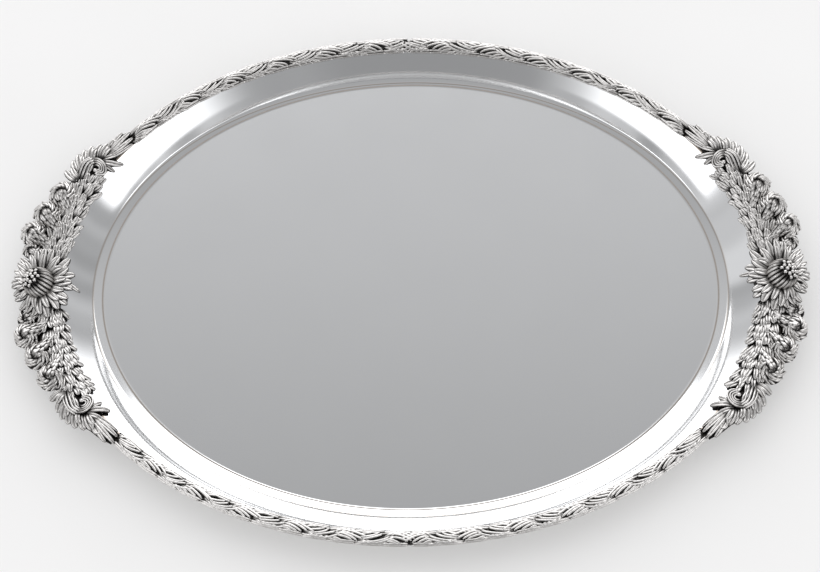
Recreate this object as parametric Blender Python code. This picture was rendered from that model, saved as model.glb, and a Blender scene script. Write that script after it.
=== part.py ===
"""A large oval serving tray in silver: a raised sheet body and cast floral ornament soldered to its rim.

Metres, +Z up. The origin is the centre of the flat underside. +X runs along the tray to the right,
+Y to its back. The tray is the same in all four quarters, so each casting is drawn once in the
quarter where x and y are positive, and is mirrored into the others.
"""

import math

import bmesh
import bpy
from mathutils import Vector

# Driving dimensions of the body. A ring of the body is an ellipse that is a share of the rim's own.
RIM_HALF_LENGTH = 0.341
RIM_HALF_WIDTH = 0.244
SHEET = 0.0015
WELL_EDGE = 0.862
STEP_LINE = 0.8905
BORDER_EDGE = 0.965

# Heights over the top of the well's floor, and how steeply the sheet leaves each line, as the rise
# in metres over one whole share.
STEP_RISE = 0.0018
WALL_RISE = 0.0245
RIM_RISE = 0.0275
BAND_STEEPNESS = 0.063
WALL_FOOT_STEEPNESS = 0.40
WALL_TOP_STEEPNESS = 0.20
RIM_STEEPNESS = 0.02

# The sheet runs out beyond the rim's ellipse as a narrow lip, and as a broad ground at the ends.
EDGE_LIP = 0.0015
END_GROUND = 0.026
END_GROUND_FULL_TO = 0.060
END_GROUND_NONE_FROM = 0.155

# Every casting is soldered on, with this much room left under it.
SOLDER_GAP = 0.0005
BUTT_GAP = 0.0004

# Border and inner garland.
BORDER_SHARE = 0.9877
BORDER_HALF_WIDTH = 0.0055
BORDER_HEIGHT = 0.0046
BORDER_END_X = 0.2655
BORDER_CASTINGS_PER_QUARTER = 3
BORDER_LEAF = 0.0222
GARLAND_SHARE = 0.978
GARLAND_HALF_WIDTH = 0.0062
GARLAND_HEIGHT = 0.0060
GARLAND_START_Y = 0.029
GARLAND_STOP_Y = 0.099
GARLAND_LEAF = 0.0140
LEAF_SWELL = 0.22

# Flower. The ruff is a turned form whose rings are notched between the petals: each ring has a share of
# the ruff's radius, a height over its base, and the depth of its notches as a share. It stands on a neck,
# so that its petals pass over the first blooms and over the open rim.
FLOWER_X = 0.347
RUFF_RADIUS_X = 0.0275
RUFF_RADIUS_Y = 0.0300
RUFF_PETALS = 24
RUFF_RINGS = (
    (0.60, 0.0000, 0.00),
    (0.60, 0.0048, 0.00),
    (1.00, 0.0054, 0.10),
    (0.97, 0.0064, 0.10),
    (0.70, 0.0085, 0.05),
    (0.46, 0.0065, 0.00),
)
HEART_RADIUS = 0.0132
HEART_HEIGHT = 0.0132

# Blooms: centre x and y, half size along the chain and across it, and height.
BLOOMS = (
    (0.3585, 0.0320, 0.0046, 0.0085, 0.0042),
    (0.3550, 0.0480, 0.0113, 0.0125, 0.0105),
    (0.3430, 0.0680, 0.0113, 0.0132, 0.0112),
    (0.3295, 0.0930, 0.0153, 0.0118, 0.0105),
)

# Corner scroll: a cushion over an outline in plan, with its middle, its height, the height of its edge,
# and its rings as shares of the outline.
SCROLL_MIDDLE = (0.2930, 0.1235)
SCROLL_HEIGHT = 0.0102
SCROLL_EDGE_HEIGHT = 0.0017
SCROLL_RINGS = (1.0, 0.8, 0.6, 0.4, 0.2)
SCROLL_OUTLINE = (
    (0.2680, 0.1500),
    (0.2690, 0.1565),
    (0.2830, 0.1490),
    (0.2905, 0.1455),
    (0.2970, 0.1385),
    (0.3080, 0.1345),
    (0.3165, 0.1285),
    (0.3130, 0.1190),
    (0.3065, 0.1105),
    (0.2985, 0.1050),
    (0.2905, 0.1080),
    (0.2840, 0.1140),
    (0.2765, 0.1235),
    (0.2770, 0.1330),
    (0.2715, 0.1420),
)

# How finely the rings are cut.
BODY_SEGMENTS = 96
WALL_RINGS = 5
RIM_RINGS = 2
STRIP_STATIONS = 15
STRIP_ARC = 6
DOME_SEGMENTS = 18
DOME_RINGS = 4
PATH_SAMPLES = 400
TILT_STEP = 0.001
SHARP_ANGLE = math.radians(40)

# Colour and roughness.
BRIGHT = ((0.86, 0.85, 0.83, 1.0), 0.08)
OXIDISED = ((0.60, 0.59, 0.57, 1.0), 0.25)

QUARTERS = (
    (1, 1, "right", "back"),
    (-1, 1, "left", "back"),
    (1, -1, "right", "front"),
    (-1, -1, "left", "front"),
)


def clear_scene():
    for old in list(bpy.data.objects):
        bpy.data.objects.remove(old, do_unlink=True)


def silver(name, finish):
    colour, roughness = finish
    material = bpy.data.materials.new(name)
    material.use_nodes = True
    shader = material.node_tree.nodes["Principled BSDF"]
    shader.inputs["Base Color"].default_value = colour
    shader.inputs["Metallic"].default_value = 1.0
    shader.inputs["Roughness"].default_value = roughness
    return material


def solid(name, rings, tray, finish, tip=None):
    """One closed body skinned over rings of points. The first ring is capped, and the last is capped or
    drawn to a tip. Its origin is the middle of its first ring."""
    centre = sum((Vector(point) for point in rings[0]), Vector()) / len(rings[0])
    mesh = bmesh.new()
    rows = [[mesh.verts.new(Vector(point) - centre) for point in ring] for ring in rings]
    for low, high in zip(rows, rows[1:]):
        for i in range(len(low)):
            j = (i + 1) % len(low)
            mesh.faces.new((low[i], low[j], high[j], high[i]))
    mesh.faces.new(rows[0])
    if tip is None:
        mesh.faces.new(rows[-1])
    else:
        top = mesh.verts.new(Vector(tip) - centre)
        for i in range(len(rows[-1])):
            mesh.faces.new((rows[-1][i], rows[-1][(i + 1) % len(rows[-1])], top))
    bmesh.ops.recalc_face_normals(mesh, faces=mesh.faces)
    data = bpy.data.meshes.new(name)
    mesh.to_mesh(data)
    mesh.free()
    data.shade_smooth()
    data.set_sharp_from_angle(angle=SHARP_ANGLE)
    data.materials.append(silver(name + "_silver", finish))
    made = bpy.data.objects.new(name, data)
    made.location = centre
    made.parent = tray
    bpy.context.collection.objects.link(made)


def curve(t, start, leaves, stop, arrives):
    """A cubic from start to stop as t goes from 0 to 1, with the rise per unit t given at both ends."""
    keep = 2 * t**3 - 3 * t**2 + 1
    return (
        keep * start
        + (t**3 - 2 * t**2 + t) * leaves
        + (1 - keep) * stop
        + (t**3 - t**2) * arrives
    )


STRETCHES = (
    (WELL_EDGE, 0.0, BAND_STEEPNESS, STEP_LINE, STEP_RISE, BAND_STEEPNESS),
    (STEP_LINE, STEP_RISE, WALL_FOOT_STEEPNESS, BORDER_EDGE, WALL_RISE, WALL_TOP_STEEPNESS),
    (BORDER_EDGE, WALL_RISE, WALL_TOP_STEEPNESS, 1.0, RIM_RISE, RIM_STEEPNESS),
)


def sheet_height(share):
    """Height of the sheet's upper face on the ellipse that is this share of the rim's."""
    for low, start, leaves, high, stop, arrives in STRETCHES:
        if share < low:
            return SHEET + start
        if share <= high:
            width = high - low
            return SHEET + curve((share - low) / width, start, leaves * width, stop, arrives * width)
    return SHEET + RIM_RISE


def share_at(x, y):
    return math.hypot(x / RIM_HALF_LENGTH, y / RIM_HALF_WIDTH)


def on_ellipse(share, angle):
    return share * RIM_HALF_LENGTH * math.cos(angle), share * RIM_HALF_WIDTH * math.sin(angle)


def outward(x, y):
    """The unit normal of the body's ellipse through a point, and the distance that one whole share covers
    along it."""
    gx = x / RIM_HALF_LENGTH**2
    gy = y / RIM_HALF_WIDTH**2
    steep = math.hypot(gx, gy)
    return gx / steep, gy / steep, share_at(x, y) / steep


def ground_beyond_rim(y):
    t = (END_GROUND_NONE_FROM - abs(y)) / (END_GROUND_NONE_FROM - END_GROUND_FULL_TO)
    t = min(1.0, max(0.0, t))
    return EDGE_LIP + END_GROUND * t * t * (3 - 2 * t)


def tray_body(tray):
    cuts = [WELL_EDGE, (WELL_EDGE + STEP_LINE) / 2, STEP_LINE]
    cuts += [STEP_LINE + (BORDER_EDGE - STEP_LINE) * (i + 1) / WALL_RINGS for i in range(WALL_RINGS)]
    cuts += [BORDER_EDGE + (1.0 - BORDER_EDGE) * (i + 1) / RIM_RINGS for i in range(RIM_RINGS)]
    middle = (RIM_HALF_LENGTH + RIM_HALF_WIDTH) / 2
    section = [Vector((share * middle, sheet_height(share))) for share in cuts]
    under = []
    for i, point in enumerate(section):
        before = section[max(i - 1, 0)] if i else point - Vector((1.0, 0.0))
        after = section[min(i + 1, len(section) - 1)]
        along = ((point - before).normalized() + (after - point).normalized()).normalized()
        under.append(point + SHEET * Vector((along.y, -along.x)))
    angles = [math.tau * i / BODY_SEGMENTS for i in range(BODY_SEGMENTS)]

    def ring(point):
        return [(*on_ellipse(point.x / middle, angle), max(point.y, 0.0)) for angle in angles]

    def outline(height):
        edge = []
        for angle in angles:
            x, y = on_ellipse(1.0, angle)
            nx, ny, _ = outward(x, y)
            reach = ground_beyond_rim(y)
            edge.append((x + nx * reach, y + ny * reach, height))
        return edge

    rings = [ring(point) for point in section]
    rings += [outline(SHEET + RIM_RISE), outline(RIM_RISE)]
    rings += [ring(point) for point in reversed(under)]
    solid("tray_body", rings, tray, BRIGHT)


def path_along(share, start, stop):
    """Points at even spacing along the body's ellipse from one angle to another, and their spacing."""
    fine = [
        Vector(on_ellipse(share, start + (stop - start) * i / PATH_SAMPLES)) for i in range(PATH_SAMPLES + 1)
    ]
    reached = [0.0]
    for a, b in zip(fine, fine[1:]):
        reached.append(reached[-1] + (b - a).length)

    def point_at(distance):
        for i in range(PATH_SAMPLES):
            if reached[i + 1] >= distance:
                part = (distance - reached[i]) / (reached[i + 1] - reached[i])
                return fine[i].lerp(fine[i + 1], part)
        return fine[-1]

    return point_at, reached[-1]


def leaf_strip(name, tray, mirror, point_at, span, half_width, height, leaf):
    """A rounded strip of overlapping leaves that lies on the sloping rim."""
    rings = []
    for station in range(STRIP_STATIONS + 1):
        distance = span[0] + (span[1] - span[0]) * station / STRIP_STATIONS
        at = point_at(distance)
        nx, ny, reach = outward(at.x, at.y)
        share = share_at(at.x, at.y)
        climb = sheet_height(share + TILT_STEP) - sheet_height(share - TILT_STEP)
        tilt = math.atan2(climb, 2 * TILT_STEP * reach)
        base = sheet_height(share) + SOLDER_GAP / math.cos(tilt)
        swell = 1 - LEAF_SWELL * (1 - math.sin(math.pi * ((distance / leaf) % 1.0)))
        ring = []
        for i in range(STRIP_ARC + 1):
            turn = math.pi * i / STRIP_ARC
            across = -half_width * swell * math.cos(turn)
            rise = height * swell * math.sin(turn)
            out = across * math.cos(tilt) - rise * math.sin(tilt)
            up = across * math.sin(tilt) + rise * math.cos(tilt)
            ring.append((mirror[0] * (at.x + nx * out), mirror[1] * (at.y + ny * out), base + up))
        rings.append(ring)
    solid(name, rings, tray, OXIDISED)


def border(tray, mirror, end, side):
    end_angle = math.acos(BORDER_END_X / (BORDER_SHARE * RIM_HALF_LENGTH))
    point_at, length = path_along(BORDER_SHARE, end_angle, math.pi / 2)
    count = BORDER_CASTINGS_PER_QUARTER
    for i in range(count):
        span = (length * i / count + BUTT_GAP / 2, length * (i + 1) / count - BUTT_GAP / 2)
        name = f"border_{side}_{end}_{i + 1}"
        leaf_strip(name, tray, mirror, point_at, span, BORDER_HALF_WIDTH, BORDER_HEIGHT, BORDER_LEAF)


def garland(tray, mirror, end, side):
    start = math.asin(GARLAND_START_Y / (GARLAND_SHARE * RIM_HALF_WIDTH))
    stop = math.asin(GARLAND_STOP_Y / (GARLAND_SHARE * RIM_HALF_WIDTH))
    point_at, length = path_along(GARLAND_SHARE, start, stop)
    name = f"garland_{end}_{side}"
    span = (0.0, length)
    leaf_strip(name, tray, mirror, point_at, span, GARLAND_HALF_WIDTH, GARLAND_HEIGHT, GARLAND_LEAF)


def dome(name, tray, centre, radii, turn, base, height, mirror=(1, 1)):
    """Half an ellipsoid on a flat base."""
    rings = []
    for level in range(DOME_RINGS):
        lift = math.pi / 2 * level / DOME_RINGS
        ring = []
        for i in range(DOME_SEGMENTS):
            angle = math.tau * i / DOME_SEGMENTS
            u = radii[0] * math.cos(lift) * math.cos(angle)
            v = radii[1] * math.cos(lift) * math.sin(angle)
            x = centre[0] + u * math.cos(turn) - v * math.sin(turn)
            y = centre[1] + u * math.sin(turn) + v * math.cos(turn)
            ring.append((mirror[0] * x, mirror[1] * y, base + height * math.sin(lift)))
        rings.append(ring)
    tip = (mirror[0] * centre[0], mirror[1] * centre[1], base + height)
    solid(name, rings, tray, OXIDISED, tip)


def blooms(tray, mirror, end, side):
    base = SHEET + RIM_RISE + SOLDER_GAP
    for i, (x, y, along, across, height) in enumerate(BLOOMS):
        nx, ny, _ = outward(x, y)
        name = f"bloom_{end}_{side}_{i + 1}"
        dome(name, tray, (x, y), (across, along), math.atan2(ny, nx), base, height, mirror)


def scroll(tray, mirror, end, side):
    """A cushion over the scroll's outline, whose underside follows the sheet."""
    cx, cy = SCROLL_MIDDLE
    crown = SCROLL_HEIGHT - SCROLL_EDGE_HEIGHT

    def ring(share, rise):
        points = []
        for x, y in SCROLL_OUTLINE:
            px = cx + (x - cx) * share
            py = cy + (y - cy) * share
            height = sheet_height(share_at(px, py)) + SOLDER_GAP + rise
            points.append((mirror[0] * px, mirror[1] * py, height))
        return points

    rings = [ring(share, 0.0) for share in reversed(SCROLL_RINGS)]
    rings += [ring(share, SCROLL_EDGE_HEIGHT + crown * (1 - share * share)) for share in SCROLL_RINGS]
    solid(f"scroll_{end}_{side}", rings, tray, OXIDISED)


def flower(tray, mirror_x, end):
    base = SHEET + RIM_RISE + SOLDER_GAP
    rings = []
    for radius, rise, notch in RUFF_RINGS:
        ring = []
        for i in range(2 * RUFF_PETALS):
            angle = math.pi * i / RUFF_PETALS
            reach = radius * (1 - notch * (i % 2))
            x = FLOWER_X + RUFF_RADIUS_X * reach * math.cos(angle)
            ring.append((mirror_x * x, RUFF_RADIUS_Y * reach * math.sin(angle), base + rise))
        rings.append(ring)
    solid(f"flower_ruff_{end}", rings, tray, OXIDISED)
    heart_base = base + RUFF_RINGS[-1][1] + BUTT_GAP
    radii = (HEART_RADIUS, HEART_RADIUS)
    dome(f"flower_heart_{end}", tray, (mirror_x * FLOWER_X, 0.0), radii, 0.0, heart_base, HEART_HEIGHT)


def main():
    clear_scene()
    tray = bpy.data.objects.new("tray", None)
    bpy.context.collection.objects.link(tray)
    tray_body(tray)
    for mirror_x, mirror_y, end, side in QUARTERS:
        mirror = (mirror_x, mirror_y)
        border(tray, mirror, end, side)
        garland(tray, mirror, end, side)
        blooms(tray, mirror, end, side)
        scroll(tray, mirror, end, side)
    flower(tray, 1, "right")
    flower(tray, -1, "left")


main()
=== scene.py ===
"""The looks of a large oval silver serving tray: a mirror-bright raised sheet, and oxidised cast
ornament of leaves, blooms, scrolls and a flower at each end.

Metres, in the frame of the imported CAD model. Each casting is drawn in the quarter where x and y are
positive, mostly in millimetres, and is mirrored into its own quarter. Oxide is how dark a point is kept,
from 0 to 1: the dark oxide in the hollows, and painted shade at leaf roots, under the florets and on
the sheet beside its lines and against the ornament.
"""

import math

import bpy
import numpy as np
from mathutils import Matrix, Vector


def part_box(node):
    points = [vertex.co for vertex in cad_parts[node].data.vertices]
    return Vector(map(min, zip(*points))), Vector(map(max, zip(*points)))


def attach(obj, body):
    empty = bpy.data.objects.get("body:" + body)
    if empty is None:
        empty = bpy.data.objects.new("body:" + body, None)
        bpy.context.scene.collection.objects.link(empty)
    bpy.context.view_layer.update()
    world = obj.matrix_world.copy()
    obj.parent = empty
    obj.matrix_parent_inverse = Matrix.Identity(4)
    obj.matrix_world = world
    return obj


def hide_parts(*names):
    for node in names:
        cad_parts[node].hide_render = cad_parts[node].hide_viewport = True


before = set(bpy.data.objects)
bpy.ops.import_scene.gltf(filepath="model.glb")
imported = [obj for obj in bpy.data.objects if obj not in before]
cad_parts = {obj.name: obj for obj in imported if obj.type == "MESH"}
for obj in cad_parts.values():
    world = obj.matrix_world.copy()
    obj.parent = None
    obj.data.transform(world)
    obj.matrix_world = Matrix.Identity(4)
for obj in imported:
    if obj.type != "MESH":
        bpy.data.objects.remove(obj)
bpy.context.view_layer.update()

SEED = 7
MM = 0.001

# The sheet, as the CAD model has it. A ring is an ellipse that is a share of the rim's.
RIM_HALF_LENGTH = 0.341
RIM_HALF_WIDTH = 0.244
MEAN_HALF_AXIS = (RIM_HALF_LENGTH + RIM_HALF_WIDTH) / 2
SHEET = 0.0015
WELL_EDGE = 0.862
STEP_LINE = 0.8905
BORDER_EDGE = 0.965
STEP_RISE = 0.0018
WALL_RISE = 0.0245
RIM_RISE = 0.0275
GROUND_TOP = SHEET + RIM_RISE

# How steeply the sheet leaves each line, as the rise over one whole share.
BAND_STEEPNESS = 0.063
WALL_FOOT_STEEPNESS = 0.40
WALL_TOP_STEEPNESS = 0.20
RIM_STEEPNESS = 0.02

# The sheet runs out beyond the rim's ellipse as a narrow lip, and as a broad ground at the ends.
EDGE_LIP = 0.0010
END_GROUND = 0.0190
END_GROUND_FULL_TO = 0.060
END_GROUND_NONE_FROM = 0.150

# Room left under each casting.
SOLDER_GAP = 0.0002

# The share of a leaf's length, from its root, over which dark oxide and a painted shade, where the leaf lies
# under the next one, thin out.
ROOT_SHADE = 0.42
BORDER_ROOT_SHADE = 0.12
PETAL_ROOT_SHADE = 0.66

# A swept leaf starts and stops just short of the points where its width would be nothing.
LEAF_ENDS = (0.03, 0.985)
SLIM_LEAF_ENDS = (0.02, 0.985)


def cross_section(side, middle=()):
    """The cross-section of a cast leaf, from one edge over the top to the other and back underneath, as
    rows of place across, height and oxide. The far side mirrors the near one."""
    far = tuple((-across, height, oxide) for across, height, oxide in reversed(side))
    return (*side, *middle, *far, (0.70, -1.20, 1.0), (-0.70, -1.20, 1.0))


# LEAF has a vein, and RIDGE has a round back.
EDGE = (-1.00, -0.20, 1.0)
LEAF_SIDE = (EDGE, (-0.88, 0.50, 0.6), (-0.70, 0.95, 0.1), (-0.42, 1.00, 0.0), (-0.16, 0.72, 0.2))
LEAF = cross_section(LEAF_SIDE, middle=((0.00, 0.50, 0.65),))
RIDGE = cross_section((EDGE, (-0.80, 0.45, 0.5), (-0.50, 0.86, 0.1), (-0.20, 1.00, 0.0)))

QUARTERS = (
    (1, 1, "right", "back"),
    (-1, 1, "left", "back"),
    (1, -1, "right", "front"),
    (-1, -1, "left", "front"),
)


# ---------- the sheet's surface


def hermite(t, start, leaves, stop, arrives):
    """A smooth curve from start to stop, that leaves and arrives at the given slopes."""
    keep = 2 * t**3 - 3 * t**2 + 1
    return keep * start + (t**3 - 2 * t**2 + t) * leaves + (1 - keep) * stop + (t**3 - t**2) * arrives


# The section of the sheet: where each stretch starts and stops, its rise and steepness at both.
STRETCHES = (
    (WELL_EDGE, 0.0, BAND_STEEPNESS, STEP_LINE, STEP_RISE, BAND_STEEPNESS),
    (STEP_LINE, STEP_RISE, WALL_FOOT_STEEPNESS, BORDER_EDGE, WALL_RISE, WALL_TOP_STEEPNESS),
    (BORDER_EDGE, WALL_RISE, WALL_TOP_STEEPNESS, 1.0, RIM_RISE, RIM_STEEPNESS),
)


def sheet_height(share):
    """Height of the sheet's upper face at each share of the rim's ellipse."""
    share = np.asarray(share, float)
    height = np.where(share < WELL_EDGE, 0.0, RIM_RISE)
    for low, start, leaves, high, stop, arrives in STRETCHES:
        width = high - low
        inside = (share >= low) & (share <= high)
        t = np.clip((share - low) / width, 0.0, 1.0)
        height = np.where(inside, hermite(t, start, leaves * width, stop, arrives * width), height)
    return SHEET + height


def share_at(x, y):
    return np.hypot(x / RIM_HALF_LENGTH, y / RIM_HALF_WIDTH)


def on_ellipse(share, angle):
    x = share * RIM_HALF_LENGTH * np.cos(angle)
    y = share * RIM_HALF_WIDTH * np.sin(angle)
    return np.stack([x, y], -1)


def outward(x, y):
    """Unit normals, in plan, of the tray's ellipses through points."""
    gx = x / RIM_HALF_LENGTH**2
    gy = y / RIM_HALF_WIDTH**2
    steep = np.hypot(gx, gy)
    return gx / steep, gy / steep


def surface_normal(x, y):
    """Unit normals of the sheet's upper face."""
    step = 0.0008
    rise_x = (sheet_height(share_at(x + step, y)) - sheet_height(share_at(x - step, y))) / (2 * step)
    rise_y = (sheet_height(share_at(x, y + step)) - sheet_height(share_at(x, y - step))) / (2 * step)
    return unit(np.stack([-rise_x, -rise_y, np.ones_like(rise_x)], -1))


def over_sheet(x, y, lift):
    """Points at a lift over the sheet, and the way up there."""
    up = surface_normal(x, y)
    return np.stack([x, y, sheet_height(share_at(x, y))], -1) + up * lift[..., None], up


def unit(vectors):
    return vectors / np.linalg.norm(vectors, axis=-1, keepdims=True)


def smooth(t):
    t = np.clip(t, 0.0, 1.0)
    return t * t * (3 - 2 * t)


# ---------- casting meshes

# A dome and a ball stop short of their poles, and a ball is dark below this angle from its waist, with oxide
# and a painted shade.
DOME_TOP = math.pi / 2 * 0.97
BALL_TOP = 0.46 * math.pi
BALL_DARK_BELOW = 0.1
# Any way that no ball's axis runs along.
BALL_REFERENCE = (0.3, 1.0, 0.2)


def add_piece(name, node, material, points, faces, oxide):
    """The finished mesh, in an object that stands for its CAD node."""
    data = bpy.data.meshes.new(name)
    data.from_pydata(points.tolist(), [], faces)
    attribute = data.attributes.new("oxide", "FLOAT", "POINT")
    attribute.data.foreach_set("value", oxide.astype(np.float32))
    data.shade_smooth()
    data.materials.append(material)
    made = bpy.data.objects.new(name, data)
    bpy.context.collection.objects.link(made)
    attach(made, "root")
    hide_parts(node)
    return data


class Casting:
    """A mesh in the making: several closed shapes in one piece, with the oxide and painted shade kept at
    each point.
    """

    def __init__(self):
        self.points = []
        self.oxide = []
        self.faces = []
        self.count = 0

    def rings(self, rings, oxide):
        """One closed shape skinned over rings of equal size, flat at both ends."""
        rows, columns = rings.shape[:2]
        index = self.count + np.arange(rows * columns).reshape(rows, columns)
        after = np.roll(index, -1, axis=1)
        quads = np.stack([index[:-1], after[:-1], after[1:], index[1:]], -1).reshape(-1, 4)
        self.faces.extend(quads.tolist())
        self.faces.append(index[0][::-1].tolist())
        self.faces.append(index[-1].tolist())
        self.points.append(rings.reshape(-1, 3))
        self.oxide.append(np.broadcast_to(oxide, (rows, columns)).reshape(-1))
        self.count += rows * columns

    def blade(self, line, up, half_width, thickness, section=LEAF, root_shade=ROOT_SHADE):
        """A leaf or stem swept along a line, with its upper side facing up."""
        shape = np.array(section)
        along = unit(np.gradient(line, axis=0))
        side = unit(np.cross(along, up))
        rise = np.cross(side, along)
        across = side[:, None, :] * (half_width[:, None] * shape[:, 0])[:, :, None]
        height = rise[:, None, :] * (thickness[:, None] * shape[:, 1])[:, :, None]
        # Dark oxide and painted shade at the root, where the leaf lies under the next one.
        root_oxide_and_shade = np.clip(1.0 - np.linspace(0.0, 1.0, len(line)) / root_shade, 0.0, 1.0)
        self.rings(line[:, None, :] + across + height, np.maximum(shape[:, 2], root_oxide_and_shade[:, None]))

    def dome(self, centre, radii, height, depth=0.0, oxide=0.0, turn=0.0, columns=24, rows=8):
        """Half an ellipsoid, whose side runs on down by depth."""
        angle = math.tau * np.arange(columns) / columns
        lift = np.linspace(0.0, DOME_TOP, rows)
        u = radii[0] * np.cos(lift)[:, None] * np.cos(angle)
        v = radii[1] * np.cos(lift)[:, None] * np.sin(angle)
        x = u * math.cos(turn) - v * math.sin(turn)
        y = u * math.sin(turn) + v * math.cos(turn)
        ring = np.stack([x, y, np.broadcast_to(height * np.sin(lift)[:, None], u.shape)], -1)
        if depth:
            ring = np.concatenate([ring[:1] - np.array([0.0, 0.0, depth]), ring])
        self.rings(ring + np.asarray(centre), oxide)

    def ball(self, centre, radius, up=(0.0, 0.0, 1.0), columns=12, rows=7):
        """A ball that is polished on top, and dark underneath with oxide and a painted shade."""
        lift = np.linspace(-BALL_TOP, BALL_TOP, rows)
        angle = math.tau * np.arange(columns) / columns
        up = unit(np.asarray(up, float))
        first = unit(np.cross(up, BALL_REFERENCE))
        second = np.cross(up, first)
        flat = first * np.cos(angle)[:, None] + second * np.sin(angle)[:, None]
        ring = flat[None] * np.cos(lift)[:, None, None] + up * np.sin(lift)[:, None, None]
        # Painted shade, with oxide, on the ball's lower half.
        oxide = np.where(lift < BALL_DARK_BELOW, 1.0, 0.0)[:, None]
        self.rings(np.asarray(centre) + radius * ring, oxide)

    def piece(self, node, mirror, material):
        """The casting, mirrored into its quarter."""
        points = np.concatenate(self.points) * np.array([mirror[0], mirror[1], 1.0])
        faces = self.faces if mirror[0] * mirror[1] > 0 else [face[::-1] for face in self.faces]
        oxide = np.concatenate(self.oxide)
        add_piece(node + "_cast", node, material, points, faces, oxide)


def bezier(points, t):
    """A Bezier curve with any number of control points."""
    points = np.asarray(points, float)
    last = len(points) - 1
    weights = [math.comb(last, i) * (t**i * (1 - t) ** (last - i)) for i in range(last + 1)]
    return sum(weight[:, None] * point for weight, point in zip(weights, points))


def through(points, t):
    """A smooth curve through every point, even in t along its control points' lengths."""
    points = np.asarray(points, float)
    ends = np.concatenate([[2 * points[0] - points[1]], points, [2 * points[-1] - points[-2]]])
    knots = np.concatenate([[0.0], np.cumsum(np.linalg.norm(np.diff(points, axis=0), axis=1))])
    place = np.clip(t, 0, 1) * knots[-1]
    i = np.clip(np.searchsorted(knots, place, side="right") - 1, 0, len(points) - 2)
    u = ((place - knots[i]) / (knots[i + 1] - knots[i]))[:, None]
    a, b, c, d = ends[i], ends[i + 1], ends[i + 2], ends[i + 3]
    bend = (2 * a - 5 * b + 4 * c - d) * u**2 + (3 * b - a - 3 * c + d) * u**3
    return 0.5 * (2 * b + (c - a) * u + bend)


def swell(t, belly, blunt):
    """Width of a leaf along its length: widest, and 1, at belly; blunt makes its ends fuller."""
    k = 1.0 / blunt
    return (t / belly) ** (belly * k) * ((1 - t) / (1 - belly)) ** ((1 - belly) * k)


# The thickness of a leaf at its ends, and how much its width adds to that, as shares of the full one.
LEAF_END_THICKNESS = 0.35
LEAF_BELLY_THICKNESS = 0.65


def leaf(casting, plan, half_width, lifts, thick, blunt, section=LEAF, stations=11, curve=bezier):
    """A leaf that follows the sheet. Its plan, half width and thickness are in millimetres, and lifts are
    its heights over the sheet from base to tip."""
    t = np.linspace(*LEAF_ENDS, stations)
    plan_points = curve(plan, t) * MM
    height = bezier([[lift] for lift in lifts], t)[:, 0] * MM
    line, up = over_sheet(plan_points[:, 0], plan_points[:, 1], height)
    shape = swell(t, belly=0.55, blunt=blunt)
    thickness = thick * MM * (LEAF_END_THICKNESS + LEAF_BELLY_THICKNESS * shape)
    casting.blade(line, up, half_width * MM * shape, thickness, section)


# ---------- border

BORDER_SHARE = 0.9877
BORDER_END_X = 0.2655
BORDER_CASTINGS_PER_QUARTER = 3
BORDER_LEAVES_PER_CASTING = 4
BORDER_HALF_WIDTH = 0.0056
BORDER_BUTT_GAP = 0.0002
# The last leaf, at the middle of the side, is a little shorter.
BORDER_LAST_LEAF = 0.88
# The way in which the border's line runs on before its start, under the corner scroll.
BORDER_RUN_IN = (0.86, -0.50)

# Every rib of a border leaf rises along its length from its root, sinks to the border's edges, and
# leans outwards there.
RIB_HALF_WIDTH = 0.00150
RIB_THICKNESS = 0.0015
RIB_FOOT = 0.0006
RIB_RISE = 0.0032
RIB_SINK = 0.42
RIB_LEAN = 0.6
RIB_STATIONS = 16

# Edge ribs run along both edges of the border. Here and below, places across are shares of the
# border's half width, lengths are shares of the leaf's, and pairs are the range of a random draw.

# Fill lobes fan out to the edge that the leaf turns away from.
FILL_LOBES = 4
FILL_FIRST = 0.12
FILL_PITCH = 0.20
FILL_SHIFT = 0.0006
FILL_RUNS = (0.40, 0.52)
FILL_ROOT = 0.30
FILL_SPREADS = (0.50, 0.64)
FILL_CURVE = 1.3

# Ribs leave the leaf's base side by side, and arrive one by one at the edge that it turns to.
# For each rib: how long it is, and where across it leaves and arrives. Each has the first rib's number,
# the step from rib to rib, and the range of a random draw that is added.
BORDER_RIBS = 6
RIB_BEGINS = -0.06
RIB_PITCH = 0.03
RIB_SHIFT = 0.0004
RIB_RUNS = (0.46, 0.18, -0.07, 0.07)
RIB_LEAVES = (0.66, -0.30, -0.06, 0.06)
RIB_ARRIVES = (0.98, -0.17, -0.16, 0.10)
RIB_CURVES = (1.8, 3.4)
RIB_GATHER = 0.60

# The casting's own ground, whose width waves gently along it.
BORDER_BED_HALF_WIDTH = 0.0053
BORDER_BED_HEIGHT = 0.0019
BORDER_BED_EDGE = 0.0002
BORDER_BED_UNDERSIDE = 0.0001
BORDER_BED_WAVE = 0.0444


def along_border():
    """Evenly spaced plan points from the corner scroll to the middle of the side, and their distances."""
    start = math.acos(BORDER_END_X / (BORDER_SHARE * RIM_HALF_LENGTH))
    fine = on_ellipse(BORDER_SHARE, np.linspace(start, math.pi / 2, 2000))
    reached = np.concatenate([[0.0], np.cumsum(np.linalg.norm(np.diff(fine, axis=0), axis=1))])
    return fine, reached


BORDER_LINE, BORDER_REACHED = along_border()
BORDER_LENGTH = BORDER_REACHED[-1]


def beside_border(distance, across):
    """Plan points at distances along the border and across it, in metres, outward positive. Past the
    middle of the side the line runs on straight."""
    before = np.maximum(-distance, 0)
    beyond = np.maximum(distance - BORDER_LENGTH, 0)
    x = np.interp(distance, BORDER_REACHED, BORDER_LINE[:, 0]) - beyond + before * BORDER_RUN_IN[0]
    y = np.interp(distance, BORDER_REACHED, BORDER_LINE[:, 1]) + before * BORDER_RUN_IN[1]
    nx, ny = outward(x, y)
    return x + nx * across, y + ny * across


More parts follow.
